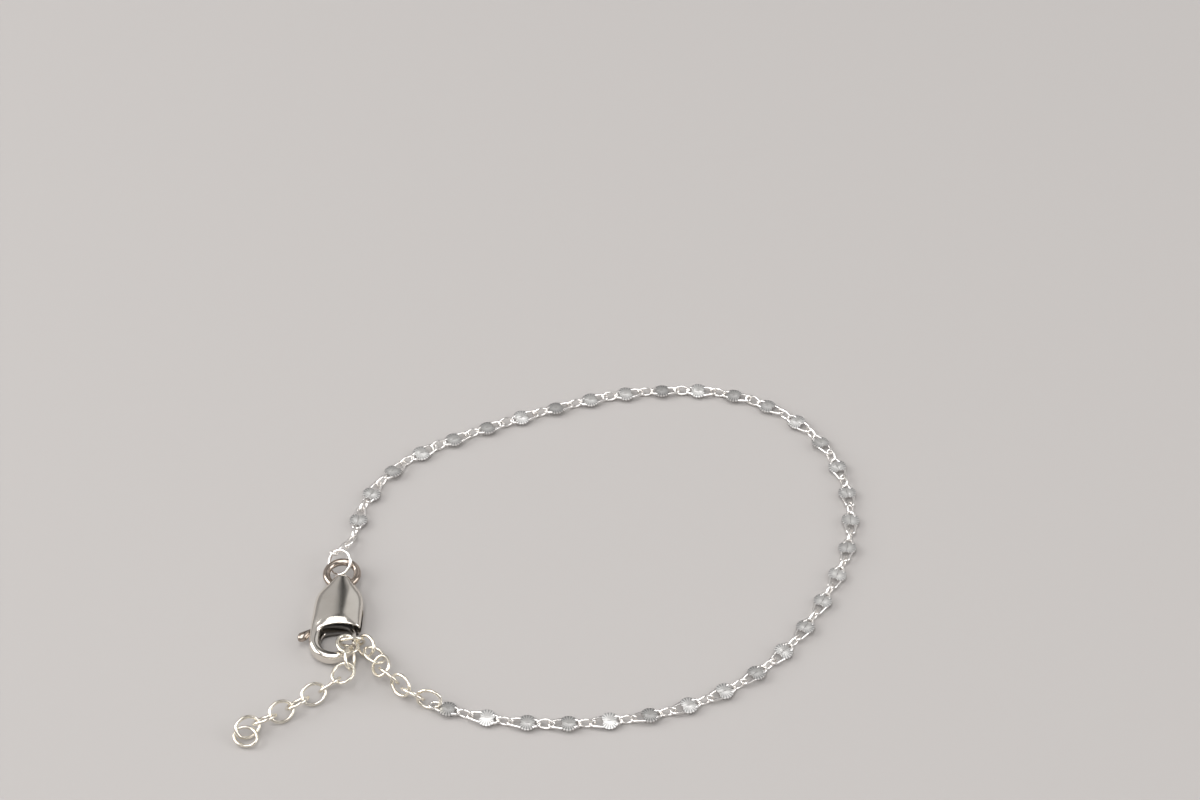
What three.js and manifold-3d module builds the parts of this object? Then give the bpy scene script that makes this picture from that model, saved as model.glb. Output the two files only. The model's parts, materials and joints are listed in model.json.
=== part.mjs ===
// Disc chain bracelet: a silver chain of fluted sunburst discs, closed by a lobster clasp that hooks into
// an extension chain with a free tail. It lies on a table. Millimetres, +Z up, table at z = 0.
import * as THREE from "three";
import { mergeVertices } from "three/addons/utils/BufferGeometryUtils.js";
import Module from "manifold-3d";

const wasm = await Module();
wasm.setup();

// Disc links: one oval wire link each, with its two sides pressed flat into a fluted disc
const DISC_PITCH = 4.2; // disc centre to disc centre along the chain
const DISC_RADIUS = 0.98;
const DISC_THICKNESS = 0.24;
const FLUTE_DEPTH = 0.05;
const FLUTE_FIRST = 48; // degrees from the chain's forward direction to a half disc's first ray
const FLUTE_LAST = 144;
const FLUTE_STEPS = 6;
const SLIT_HALF = 0.07; // half the gap between a disc's two halves
const SLIT_REACH = 0.95; // how far out along its ray the slit's edge lies towards the loops
const SLIT_FLARE = { from: 0.5, spread: 0.75 }; // the slit widens into each loop near the disc's ends
const PLATE_EDGE = 0.86; // share of a half disc's width that is flat, inside its thin rim
const CHAIN_WIRE = 0.28;
const LOOP_WIDTH = 1.15; // outer width of a wire loop
const LOOP_REACH = 2.12; // disc centre to the outer end of the long forward loop
const STUB_REACH = 1.4; // disc centre to the outer end of the short backward loop
const PIVOT_REACH = 1.79; // disc centre to where the forward loop holds the next link
const CHAIN_HEIGHT = 0.54; // chain axis above the table
const DISC_ROLL = 7; // degrees, the most that a disc leans to either side
const ROLL_STEP = 137.5; // degrees of phase from one disc to the next, so that no two lean alike

// Small plain links between the discs
const TIE_LENGTH = 1.92;
const TIE_LEAN = 62; // degrees a small link leans away from lying flat, its open face to the front
const TIE_FUSE = 0.1; // how far a small link bites into the stub that it is fused to
const TIE_SIDES = 10;
const WIRE_SIDES = 5;

// The chain's way round the wrist, from the clasp to the extension chain
const CHAIN_START = { x: -31.6, y: 1.3, heading: 82 };
const CHAIN_TURNS = [
  { links: 3, turn: -15 },
  { links: 1, turn: -9 },
  { links: 4, turn: -2.5 },
  { links: 3, turn: -7 },
  { links: 5, turn: -14 },
  { links: 4, turn: -10 },
  { links: 2, turn: -4 },
  { links: 5, turn: -9 },
  { links: 3, turn: -6 },
  { links: 2, turn: -8 },
];

// Extension chain: plain oval links, each row giving the way that one link points and leans, in degrees.
// A shift is how far a link sits off its neighbour's pivot, where it rests on the table or folds back.
const EXTENSION_LENGTH = 2.85;
const EXTENSION_WIDTH = 2.4;
const EXTENSION_WIRE = 0.35;
const EXTENSION_PITCH = 1.93; // pivot to pivot, with some slack
const EXTENSION_SIDES = 10;
const BUNCHED = 0.217; // how much nearer to its neighbour a link lies where the chain hangs slack
const EXTENSION_ROWS = [
  { heading: 166, climb: 0, roll: -72, shift: [0.67, -0.08, 0.62] },
  { heading: 149, climb: 5, roll: 53, slack: BUNCHED },
  { heading: 134, climb: 2, roll: -61, slack: BUNCHED },
  { heading: 138, climb: 3, roll: 64, slack: BUNCHED },
  { heading: 110, climb: -5, roll: -36, slack: BUNCHED },
  { heading: 122.5, climb: 0, roll: 22, slack: BUNCHED },
  { heading: 129.5, climb: -8, roll: -53, slack: BUNCHED },
  { heading: 190, climb: 9, roll: 72 }, // hooked into the clasp
  { heading: -65, climb: -1, roll: -9, shift: [0.13, 0.2, 0.5] }, // first link of the free tail
  { heading: -92, climb: -9, roll: 111 },
  { heading: -125, climb: -7, roll: -5 },
  { heading: -143, climb: -9, roll: 55 },
  { heading: -150, climb: -4, roll: -39 },
  { heading: -140, climb: 0, roll: 42 },
  { heading: -146, climb: 1, roll: -40 },
  { heading: -148, climb: 2, roll: 43 },
  { heading: -145, climb: 0, roll: -43 },
  { heading: -36, climb: -1, roll: 10, shift: [-0.14, 0.25, -0.37] }, // folded back over its neighbour
];

// Head of the chain: three plain links and a jump ring, walked backwards from the first disc link
const HEAD_LENGTH = 2.3;
const HEAD_SLACK = 0.23;
const HEAD_ROWS = [
  { heading: -112, climb: 10, roll: 30 },
  { heading: -115, climb: 18, roll: 104 },
  { heading: -120, climb: 32, roll: -6 },
];
const JUMP_RING = {
  diameter: 3.0,
  wire: 0.34,
  heading: -49,
  climb: -8,
  roll: 42,
  shift: [0.05, -0.18, -0.29], // it lies loose in the last plain link
};
const RING_SIDES = 14;
const RING_WIRE_SIDES = 6;

// Clasp, in its own frame: x across, y from the foot of the hook up to the ring, z up from the table
const CLASP_PLACE = { x: -33.0, y: -19.4, turn: -2 };
const BODY_SECTIONS = [
  { y: 4.4, half: 2.55, crown: 2.2 },
  { y: 5.6, half: 2.55, crown: 2.4 },
  { y: 7.2, half: 2.55, crown: 2.5 },
  { y: 8.3, half: 2.48, crown: 2.45 },
  { y: 9.1, half: 2.2, crown: 2.36 },
  { y: 10.3, half: 1.4, crown: 2.25 },
  { y: 11.4, half: 0.75, crown: 2.1 },
];
// Right half of the body's cross section: across as a share of the half width, up as a share of the crown
const BODY_PROFILE = [
  { across: 0.8, up: 0 },
  { across: 1, up: 0.16 },
  { across: 1, up: 0.45 },
  { across: 0.86, up: 0.74 },
  { across: 0.5, up: 0.93 },
];
// Ring through the clasp's head: where it crosses the head, its size, its attitude, and its room in the hole
const CLASP_RING = { y: 10.3, z: 1.25, diameter: 4.1, wire: 0.8, heading: 94.5, lift: 4, room: 0.15 };

const HOOK_RADIUS = 2.1; // centre line of the hook's round foot
const HOOK_CENTRE_Y = 2.5;
const HOOK_TIP_ANGLE = -14; // degrees, where the hook's point ends on the right
const HOOK_ROOT = { y: 5.4, width: 0.95, height: 1.6 };
const HOOK_TIP = { width: 0.72, height: 0.95 };
const HOOK_MIDDLE_Z = 1.0;
const HOOK_STEPS = 12;
const ARM_SIDES = 8;

// Lever: a gate that closes the hook, turning on a pin, with a thumb tab on the other side
const PIVOT = { x: 1.3, y: 5.1, pin: 0.35, bore: 0.47, bite: 0.1 };
const SLOT = { half: 3, low: 0.64, high: 1.36, foot: 2.6, top: 7.0 };
const PLATE = { low: 0.78, high: 1.22 };
// Corners of the lever's plate from beside the gate, round the hub, across to the tab and back
const PLATE_TO_TAB = [
  { x: 1.85, y: 4.6 },
  { x: 1.9, y: 5.55 },
  { x: 1.4, y: 5.85 },
  { x: -1.2, y: 5.65 },
  { x: -3.1, y: 4.05 },
];
const PLATE_BACK = { x: -1.3, y: 4.65 };
const TAB = { x: -3.3, y: 3.5, radius: 0.55, from: 70, to: 290 };
const TAB_STEPS = 6;
const GATE_WIDTH = 0.54;
const GATE_MIDDLE_Z = 1.0;
const GATE_POINTS = [
  { x: 1.5, y: 5.0, height: 0.44 },
  { x: 1.98, y: 3.75, height: 0.84 },
  { x: 2.12, y: 3.1, height: 0.84 },
  { x: 2.14, y: 2.2, height: 0.84 },
];

const POST_SIDES = 12;
const MERGE = 1e-4; // corners closer than this are one corner

const SILVER = new THREE.MeshStandardMaterial({ color: 0xd9dadc, roughness: 0.22, metalness: 1 });
const EXTENSION_SILVER = new THREE.MeshStandardMaterial({ color: 0xd8d3c8, roughness: 0.26, metalness: 1 });
const CLASP_SILVER = new THREE.MeshStandardMaterial({ color: 0xcfcdca, roughness: 0.12, metalness: 1 });
const RING_SILVER = new THREE.MeshStandardMaterial({ color: 0xc6b7ab, roughness: 0.18, metalness: 1 });

const radians = THREE.MathUtils.degToRad;
const ACROSS = new THREE.Vector3(1, 0, 0);
const UP = new THREE.Vector3(0, 0, 1);

// Unit vector for a heading round Z and a climb above the level, in degrees
function direction(heading, climb = 0) {
  const level = Math.cos(radians(climb));
  return new THREE.Vector3(
    level * Math.cos(radians(heading)),
    level * Math.sin(radians(heading)),
    Math.sin(radians(climb)),
  );
}

// Closed surface through rings of equally many points, joined end to end or capped, facing outwards
function skin(rings, joined) {
  const count = rings[0].length;
  const positions = rings.flat().flatMap((point) => point.toArray());
  const faces = [];
  const last = joined ? rings.length : rings.length - 1;
  for (let i = 0; i < last; i++) {
    const here = i * count;
    const next = ((i + 1) % rings.length) * count;
    for (let j = 0; j < count; j++) {
      const k = (j + 1) % count;
      faces.push(here + j, next + j, next + k, here + j, next + k, here + k);
    }
  }
  if (!joined) {
    const top = (rings.length - 1) * count;
    for (let j = 1; j < count - 1; j++) {
      faces.push(0, j, j + 1);
      faces.push(top, top + j + 1, top + j);
    }
  }
  const geometry = new THREE.BufferGeometry();
  geometry.setAttribute("position", new THREE.Float32BufferAttribute(positions, 3));
  geometry.setIndex(faces);
  return facingOut(geometry);
}

// Turns a closed surface's triangles round if they enclose a negative volume
function facingOut(geometry) {
  const corner = geometry.getAttribute("position");
  const faces = geometry.index.array;
  const [a, b, c] = [new THREE.Vector3(), new THREE.Vector3(), new THREE.Vector3()];
  let volume = 0;
  for (let i = 0; i < faces.length; i += 3) {
    a.fromBufferAttribute(corner, faces[i]);
    b.fromBufferAttribute(corner, faces[i + 1]);
    c.fromBufferAttribute(corner, faces[i + 2]);
    volume += a.dot(b.cross(c));
  }
  if (volume < 0) geometry.setIndex(Array.from(faces).reverse());
  return geometry;
}

function toSolid(geometry) {
  const bare = geometry.clone();
  bare.deleteAttribute("normal");
  bare.deleteAttribute("uv");
  const merged = mergeVertices(bare, MERGE);
  return new wasm.Manifold(
    new wasm.Mesh({
      numProp: 3,
      vertProperties: merged.attributes.position.array,
      triVerts: new Uint32Array(merged.index.array),
    }),
  );
}

function toGeometry(solid) {
  const mesh = solid.getMesh();
  const geometry = new THREE.BufferGeometry();
  geometry.setAttribute("position", new THREE.BufferAttribute(mesh.vertProperties, 3));
  geometry.setIndex(new THREE.BufferAttribute(mesh.triVerts, 1));
  return geometry;
}

// Ring of points round a wire: centre, the direction away from the link's middle, half width and half height
function wireRing(centre, outward, halfWidth, halfHeight, sides) {
  return Array.from({ length: sides }, (_, i) => {
    const angle = (2 * Math.PI * i) / sides;
    return centre
      .clone()
      .addScaledVector(outward, halfWidth * Math.cos(angle))
      .addScaledVector(UP, halfHeight * Math.sin(angle));
  });
}

// Plain wire link with round ends, lying flat along X; a round ring where length equals width
function ovalLink(length, width, wire, sides, wireSides) {
  const radius = (width - wire) / 2;
  const straight = (length - width) / 2;
  const rings = [];
  for (let i = 0; i < sides; i++) {
    const angle = (2 * Math.PI * i) / sides;
    const outward = new THREE.Vector3(Math.cos(angle), Math.sin(angle), 0);
    const centre = outward.clone().multiplyScalar(radius);
    if (Math.abs(outward.x) > MERGE) centre.x += straight * Math.sign(outward.x);
    rings.push(wireRing(centre, outward, wire / 2, wire / 2, wireSides));
  }
  return skin(rings, true);
}

// Section of a disc link between its inner and outer edge: five points, as round wire or as flat plate
function linkSection(inner, outer, thickness, flat) {
  const middle = inner.clone().lerp(outer, 0.5);
  const across = outer.clone().sub(inner).multiplyScalar(0.5);
  const place = (share, height) =>
    new THREE.Vector3(middle.x + across.x * share, middle.y + across.y * share, (height * thickness) / 2);
  if (flat) return [place(1, 0), place(PLATE_EDGE, 1), place(-1, 1), place(-1, -1), place(PLATE_EDGE, -1)];
  return Array.from({ length: WIRE_SIDES }, (_, i) => {
    const angle = (2 * Math.PI * i) / WIRE_SIDES;
    return place(Math.cos(angle), Math.sin(angle));
  });
}

// Station of a round loop end: the loop's middle on the axis, and the angle round it
function loopStation(middleX, angle) {
  const way = new THREE.Vector2(Math.cos(radians(angle)), Math.sin(radians(angle)));
  const inner = way.clone().multiplyScalar(LOOP_WIDTH / 2 - CHAIN_WIRE);
  const outer = way.clone().multiplyScalar(LOOP_WIDTH / 2);
  inner.x += middleX;
  outer.x += middleX;
  return { inner, outer, thickness: CHAIN_WIRE, flat: false };
}

// Station of a half disc: one ray of the sunburst, raised or sunk by turns
function rayStation(step) {
  const angle = radians(FLUTE_FIRST + ((FLUTE_LAST - FLUTE_FIRST) * step) / FLUTE_STEPS);
  const raised = step % 2 === 0;
  const rim = raised ? DISC_RADIUS : DISC_RADIUS - FLUTE_DEPTH;
  const outer = new THREE.Vector2(rim * Math.cos(angle), rim * Math.sin(angle));
  const along = Math.abs(Math.cos(angle));
  const flare = SLIT_FLARE.spread * Math.max(0, along - SLIT_FLARE.from);
  const inner = new THREE.Vector2(SLIT_REACH * outer.x * along, SLIT_HALF + flare);
  return { inner, outer, thickness: raised ? DISC_THICKNESS : DISC_THICKNESS - FLUTE_DEPTH, flat: true };
}

// Disc link lying flat along X with its disc centred on the origin and its long loop forward
function discLink() {
  const forward = LOOP_REACH - LOOP_WIDTH / 2;
  const backward = -STUB_REACH + LOOP_WIDTH / 2;
  const half = [loopStation(forward, 45), loopStation(forward, 90)];
  for (let step = 0; step <= FLUTE_STEPS; step++) half.push(rayStation(step));
  half.push(loopStation(backward, 135));
  const mirrored = half.map((station) => ({
    ...station,
    inner: new THREE.Vector2(station.inner.x, -station.inner.y),
    outer: new THREE.Vector2(station.outer.x, -station.outer.y),
  }));
  const round = [loopStation(forward, 0), ...half, loopStation(backward, 180), ...mirrored.reverse()];
  return skin(
    round.map((station) => linkSection(station.inner, station.outer, station.thickness, station.flat)),
    true,
  );
}

const group = new THREE.Group();

function addMesh(name, geometry, material, parent = group) {
  geometry.computeVertexNormals();
  const mesh = new THREE.Mesh(geometry, material);
  mesh.name = name;
  parent.add(mesh);
  return mesh;
}

// Places a link so that its own X axis has this heading and climb, with its roll about that axis
function point(mesh, centre, heading, climb, roll) {
  mesh.position.copy(centre);
  mesh.rotation.set(radians(roll), -radians(climb), radians(heading), "ZYX");
}

function numbered(name, index) {
  return name + "_" + String(index + 1).padStart(2, "0");
}

// Disc chain: each disc link with the small link on its clasp side fused to its stub
const discShape = discLink();
const tieShape = ovalLink(TIE_LENGTH, LOOP_WIDTH, CHAIN_WIRE, TIE_SIDES, WIRE_SIDES);
const tieMiddle = -STUB_REACH + 2 * CHAIN_WIRE - TIE_FUSE - TIE_LENGTH / 2;

function discWithTie(discRoll, tieLean) {
  const disc = toSolid(discShape.clone().rotateX(radians(discRoll)));
  const tie = toSolid(tieShape.clone().rotateX(radians(tieLean)).translate(tieMiddle, 0, 0));
  return toGeometry(disc.add(tie));
}

const turns = CHAIN_TURNS.flatMap((row) => Array(row.links).fill(row.turn));
let heading = CHAIN_START.heading;
let centre = new THREE.Vector3(CHAIN_START.x, CHAIN_START.y, CHAIN_HEIGHT);
for (let i = 0; i <= turns.length; i++) {
  const discRoll = DISC_ROLL * Math.sin(radians(ROLL_STEP * i));
  const tieLean = Math.cos(radians(heading)) < 0 ? -TIE_LEAN : TIE_LEAN;
  const mesh = addMesh(numbered("disc_link", i), discWithTie(discRoll, tieLean), SILVER);
  point(mesh, centre, heading, 0, 0);
  if (i === turns.length) break;
  const next = heading + turns[i];
  centre = centre
    .clone()
    .addScaledVector(direction(heading), PIVOT_REACH)
    .addScaledVector(direction(next), DISC_PITCH - PIVOT_REACH);
  heading = next;
}

// Extension chain, walked from pivot to pivot out of the last disc link's loop
const extensionShape = ovalLink(
  EXTENSION_LENGTH,
  EXTENSION_WIDTH,
  EXTENSION_WIRE,
  EXTENSION_SIDES,
  WIRE_SIDES,
);
let pivot = centre.clone().addScaledVector(direction(heading), PIVOT_REACH);
EXTENSION_ROWS.forEach((row, i) => {
  const step = direction(row.heading, row.climb).multiplyScalar(EXTENSION_PITCH - (row.slack ?? 0));
  const mesh = addMesh(numbered("extension_link", i), extensionShape.clone(), EXTENSION_SILVER);
  if (row.shift) pivot.add(new THREE.Vector3(...row.shift));
  point(mesh, pivot.clone().addScaledVector(step, 0.5), row.heading, row.climb, row.roll);
  pivot = pivot.clone().add(step);
});

// Head of the chain, walked backwards from the first disc link to the clasp's ring
const headShape = ovalLink(HEAD_LENGTH, LOOP_WIDTH, CHAIN_WIRE, TIE_SIDES, WIRE_SIDES);
pivot = new THREE.Vector3(CHAIN_START.x, CHAIN_START.y, CHAIN_HEIGHT).addScaledVector(
  direction(CHAIN_START.heading),
  tieMiddle - TIE_LENGTH / 2 + CHAIN_WIRE,
);
HEAD_ROWS.forEach((row, i) => {
  const step = direction(row.heading, row.climb).multiplyScalar(
    HEAD_LENGTH - 2 * CHAIN_WIRE - HEAD_SLACK,
  );
  point(
    addMesh(numbered("chain_end_link", i), headShape.clone(), SILVER),
    pivot.clone().addScaledVector(step, 0.5),
    row.heading,
    row.climb,
    row.roll,
  );
  pivot = pivot.clone().add(step);
});
pivot.add(new THREE.Vector3(...JUMP_RING.shift));
const jumpStep = direction(JUMP_RING.heading, JUMP_RING.climb).multiplyScalar(
  JUMP_RING.diameter - 2 * JUMP_RING.wire - HEAD_SLACK,
);
point(
  addMesh(
    "jump_ring",
    ovalLink(JUMP_RING.diameter, JUMP_RING.diameter, JUMP_RING.wire, RING_SIDES, RING_WIRE_SIDES),
    SILVER,
  ),
  pivot.clone().addScaledVector(jumpStep, 0.5),
  JUMP_RING.heading,
  JUMP_RING.climb,
  JUMP_RING.roll,
);

// Clasp
const clasp = new THREE.Group();
clasp.position.set(CLASP_PLACE.x, CLASP_PLACE.y, 0);
clasp.rotation.z = radians(CLASP_PLACE.turn);
group.add(clasp);

// Pillow body, lofted from the mouth of the hook up to its shoulders
function bodyLoft() {
  const rings = BODY_SECTIONS.map((section) => {
    const right = BODY_PROFILE.map(
      (corner) => new THREE.Vector3(corner.across * section.half, section.y, corner.up * section.crown),
    );
    const left = right.map((corner) => new THREE.Vector3(-corner.x, corner.y, corner.z)).reverse();
    return [...right, new THREE.Vector3(0, section.y, section.crown), ...left];
  });
  return skin(rings, false);
}

// Hook arm: down the left side, round the foot and up to the point on the right, thinning all the way
function hookArm() {
  const root = new THREE.Vector3(-HOOK_RADIUS, HOOK_ROOT.y, HOOK_MIDDLE_Z);
  const leftward = ACROSS.clone().negate();
  const rings = [wireRing(root, leftward, HOOK_ROOT.width / 2, HOOK_ROOT.height / 2, ARM_SIDES)];
  for (let i = 0; i <= HOOK_STEPS; i++) {
    const share = i / HOOK_STEPS;
    const outward = direction(180 + (180 + HOOK_TIP_ANGLE) * share);
    const middle = new THREE.Vector3(0, HOOK_CENTRE_Y, HOOK_MIDDLE_Z).addScaledVector(outward, HOOK_RADIUS);
    const width = THREE.MathUtils.lerp(HOOK_ROOT.width, HOOK_TIP.width, share);
    const height = THREE.MathUtils.lerp(HOOK_ROOT.height, HOOK_TIP.height, share);
    rings.push(wireRing(middle, outward, width / 2, height / 2, ARM_SIDES));
  }
  return skin(rings, false);
}

function block(low, high) {
  const size = high.clone().sub(low);
  const middle = high.clone().add(low).multiplyScalar(0.5);
  return toSolid(new THREE.BoxGeometry(size.x, size.y, size.z).translate(middle.x, middle.y, middle.z));
}

function post(x, y, radius, low, high) {
  const shape = new THREE.CylinderGeometry(radius, radius, high - low, POST_SIDES).rotateX(Math.PI / 2);
  return toSolid(shape.translate(x, y, (low + high) / 2));
}

// The clasp's ring with some room all round its wire, crossing the head and lifted a little at its far side
function ringShape(room) {
  const { y, z, diameter, wire, heading, lift } = CLASP_RING;
  const outside = diameter + 2 * room;
  const away = direction(heading, lift).multiplyScalar((diameter - wire) / 2);
  return ovalLink(outside, outside, wire + 2 * room, RING_SIDES, ARM_SIDES)
    .rotateY(-radians(lift))
    .rotateZ(radians(heading))
    .translate(away.x, y + away.y, z + away.z);
}

function claspBody() {
  const slot = block(
    new THREE.Vector3(-SLOT.half, SLOT.foot, SLOT.low),
    new THREE.Vector3(SLOT.half, SLOT.top, SLOT.high),
  );
  const pin = post(PIVOT.x, PIVOT.y, PIVOT.pin, SLOT.low - PIVOT.bite, SLOT.high + PIVOT.bite);
  return toGeometry(
    toSolid(bodyLoft())
      .add(toSolid(hookArm()))
      .subtract(toSolid(ringShape(CLASP_RING.room)))
      .subtract(slot)
      .add(pin),
  );
}
addMesh("clasp_body", claspBody(), CLASP_SILVER, clasp);

addMesh("clasp_ring", ringShape(0), RING_SILVER, clasp);

// Lever: a flat plate from the hub to the thumb tab, and the gate, bored for the pin
function leverPlate() {
  const outline = new THREE.Shape(PLATE_TO_TAB.map((corner) => new THREE.Vector2(corner.x, corner.y)));
  outline.absarc(TAB.x, TAB.y, TAB.radius, radians(TAB.from), radians(TAB.to), false);
  outline.lineTo(PLATE_BACK.x, PLATE_BACK.y);
  outline.closePath();
  const plate = new THREE.ExtrudeGeometry(outline, {
    depth: PLATE.high - PLATE.low,
    bevelEnabled: false,
    curveSegments: TAB_STEPS,
  });
  return plate.translate(0, 0, PLATE.low);
}

function leverGate() {
  const rings = GATE_POINTS.map((spot) => {
    const middle = new THREE.Vector3(spot.x, spot.y, GATE_MIDDLE_Z);
    return wireRing(middle, ACROSS, GATE_WIDTH / 2, spot.height / 2, ARM_SIDES);
  });
  return skin(rings, false);
}

const bore = post(PIVOT.x, PIVOT.y, PIVOT.bore, SLOT.low, SLOT.high);
const lever = toSolid(leverPlate()).add(toSolid(leverGate())).subtract(bore);
addMesh("clasp_lever", toGeometry(lever), CLASP_SILVER, clasp);

// The origin is under the middle of the whole bracelet, on the table
group.updateMatrixWorld(true);
const box = new THREE.Box3().setFromObject(group, true);
const middle = box.getCenter(new THREE.Vector3());
group.position.set(-middle.x, -middle.y, -box.min.z);

const bracelet = new THREE.Group();
bracelet.add(group);

export default bracelet;
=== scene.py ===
# %% [markdown]
# # A silver disc chain bracelet
# The bracelet lies in a loop on a table: thirty-three fluted discs on a fine chain, a lobster clasp, and an
# extension chain with a free tail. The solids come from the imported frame, where each link already lies in
# its place. This lesson models each kind of link once at the bench, one Blender unit to the millimetre,
# then lays a copy where each solid lies.

# %% Load the frame
import json
import math

import bmesh
import bpy
import numpy as np
from mathutils import Matrix, Vector


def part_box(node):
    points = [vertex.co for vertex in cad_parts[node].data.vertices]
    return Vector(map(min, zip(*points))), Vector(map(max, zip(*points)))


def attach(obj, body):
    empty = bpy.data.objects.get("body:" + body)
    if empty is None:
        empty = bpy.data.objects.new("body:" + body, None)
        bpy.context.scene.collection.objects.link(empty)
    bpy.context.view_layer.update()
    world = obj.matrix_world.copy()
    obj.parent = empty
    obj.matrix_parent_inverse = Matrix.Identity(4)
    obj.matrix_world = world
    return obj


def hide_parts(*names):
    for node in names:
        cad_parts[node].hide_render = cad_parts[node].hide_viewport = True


PER_METRE = 1000  # millimetres


def in_millimetres(metres):
    return [round(PER_METRE * value, 2) for value in metres]


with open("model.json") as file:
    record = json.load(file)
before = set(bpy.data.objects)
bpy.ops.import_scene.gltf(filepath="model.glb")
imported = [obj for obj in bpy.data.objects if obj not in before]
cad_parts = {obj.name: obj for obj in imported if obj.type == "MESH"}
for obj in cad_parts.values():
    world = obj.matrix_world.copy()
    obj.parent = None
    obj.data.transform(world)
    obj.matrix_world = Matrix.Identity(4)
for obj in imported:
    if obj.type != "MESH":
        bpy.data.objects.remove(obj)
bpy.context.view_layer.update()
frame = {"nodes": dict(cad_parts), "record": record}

# %% [markdown]
# ## Bench helpers
# An operator acts on all that is selected, so every piece starts from an empty selection. Points and faces
# are then picked by their place, as a hand would click on them. Working in millimetres keeps the merge and
# bevel operators far away from their smallest sizes; a copy is brought down to metres as it is laid.

# %% Bench helpers
MILLIMETRES = Matrix.Scale(1 / PER_METRE, 4)
MERGE_REACH = 1e-5  # points closer than this are one point, mm
CREASE_ANGLE = math.radians(42)  # edges sharper than this stay crisp


def clear_bench():
    if bpy.context.object and bpy.context.object.mode != "OBJECT":
        bpy.ops.object.mode_set(mode="OBJECT")
    bpy.ops.object.select_all(action="DESELECT")


def named(name):
    piece = bpy.context.object
    piece.name = name
    return piece


def edit():
    bpy.ops.object.mode_set(mode="EDIT")
    bpy.ops.mesh.select_mode(type="VERT")


def done():
    bpy.ops.object.mode_set(mode="OBJECT")


def pick_points(test):
    """Selects the points of the piece in edit mode whose place passes the test."""
    bpy.ops.mesh.select_mode(type="VERT")
    bpy.ops.mesh.select_all(action="DESELECT")
    mesh = bmesh.from_edit_mesh(bpy.context.object.data)
    for point in mesh.verts:
        point.select_set(bool(test(point.co)))
    mesh.select_flush(True)
    bmesh.update_edit_mesh(bpy.context.object.data)


def pick_faces(test):
    """Selects the faces of the piece in edit mode whose middle and normal pass the test."""
    bpy.ops.mesh.select_mode(type="FACE")
    bpy.ops.mesh.select_all(action="DESELECT")
    mesh = bmesh.from_edit_mesh(bpy.context.object.data)
    mesh.normal_update()
    for face in mesh.faces:
        face.select_set(bool(test(face.calc_center_median(), face.normal)))
    bmesh.update_edit_mesh(bpy.context.object.data)


def shift(x, y, z):
    bpy.ops.transform.translate(value=(x, y, z))


def stretch(x, y, z, about):
    bpy.ops.transform.resize(value=(x, y, z), center_override=about)


def extrude(x, y, z):
    bpy.ops.mesh.extrude_region_move(TRANSFORM_OT_translate={"value": (x, y, z)})


def modify(kind, **settings):
    modifier = bpy.context.object.modifiers.new(kind.title(), kind)
    for setting, value in settings.items():
        setattr(modifier, setting, value)
    bpy.ops.object.modifier_apply(modifier=modifier.name)


def smooth(levels):
    modify("SUBSURF", levels=levels, render_levels=levels)


def face_outwards():
    edit()
    bpy.ops.mesh.select_all(action="SELECT")
    bpy.ops.mesh.remove_doubles(threshold=MERGE_REACH)
    bpy.ops.mesh.normals_make_consistent(inside=False)
    done()
    bpy.ops.object.shade_smooth_by_angle(angle=CREASE_ANGLE)


def report(piece):
    size = [round(v, 2) for v in piece.dimensions]
    print(piece.name, "has", len(piece.data.polygons), "faces and measures", size)


clear_bench()
print("bench is clear")

# %% [markdown]
# ## Where each link lies
# A link's own directions can be read from its solid. The points of a wire link spread most along it, less
# across it and least through it, so a singular value decomposition gives the three directions at once. A
# disc's solid also holds the small link on its clasp side: the disc is the widest place on the chain's
# line, and the small link is behind it, leaning its own way.

# %% Read places from the solids
LOOP_REACH = 2.12  # disc centre to the end of its long loop, mm
TIE_BEHIND = 1.9  # disc centre back to the middle of the small link, mm
TIE_ZONE = 0.5  # how far to each side of that middle the small link's sides are looked for, mm
WIDE_SHARE = 0.97  # points with this share of the greatest width mark the disc


def solid_points(node):
    mesh = frame["nodes"][node].data
    flat = np.empty(3 * len(mesh.vertices))
    mesh.vertices.foreach_get("co", flat)
    return np.unique((PER_METRE * flat.reshape(-1, 3)).round(4), axis=0)


def lay(along, across, middle):
    """Matrix that takes X along, Y across and the origin to the middle, from millimetres to metres."""
    turned = np.eye(4)
    turned[:3, 0] = along
    turned[:3, 1] = across
    turned[:3, 2] = np.cross(along, across)
    turned[:3, 3] = middle
    return MILLIMETRES @ Matrix(turned.tolist())


def upright(along, across):
    """The direction across, turned round if the face between the two would look down."""
    return across if np.cross(along, across)[2] > 0 else -across


def ring_place(node):
    points = solid_points(node)
    middle = points.mean(axis=0)
    along, across = np.linalg.svd(points - middle)[2][:2]
    return lay(along, upright(along, across), middle)


def disc_places(node):
    """Places of the disc link and of the small link that share one solid."""
    points = solid_points(node)
    middle = points.mean(axis=0)
    along = np.linalg.svd(points - middle)[2][0]
    reach = (points - middle) @ along
    sides = points - middle - np.outer(reach, along)
    width = np.linalg.norm(sides, axis=1)
    widest = reach[width > WIDE_SHARE * width.max()].mean()
    if reach.max() - widest > widest - reach.min():
        along, reach = -along, -reach
    centre = reach.max() - LOOP_REACH
    across = sides[width.argmax()] / width.max()
    behind = np.where(np.abs(reach - centre + TIE_BEHIND) < TIE_ZONE, width, 0)
    tie_across = sides[behind.argmax()] / behind.max()
    disc = lay(along, upright(along, across), middle + centre * along)
    tie = lay(along, upright(along, tie_across), middle + (centre - TIE_BEHIND) * along)
    return disc, tie


disc_solids = sorted(name for name in frame["nodes"] if name.startswith("disc_link"))
extension_solids = sorted(name for name in frame["nodes"] if name.startswith("extension_link"))
head_solids = sorted(name for name in frame["nodes"] if name.startswith("chain_end_link"))
print(len(disc_solids), "discs,", len(extension_solids), "extension links,", len(head_solids), "head links")

# %% [markdown]
# ## Camera
# The camera comes first, so that each new piece can be judged from the photograph's own angle: a long lens
# looking down at about forty-four degrees. A camera that isn't turned looks straight down, so it is tipped
# up by the rest of the right angle.

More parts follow.
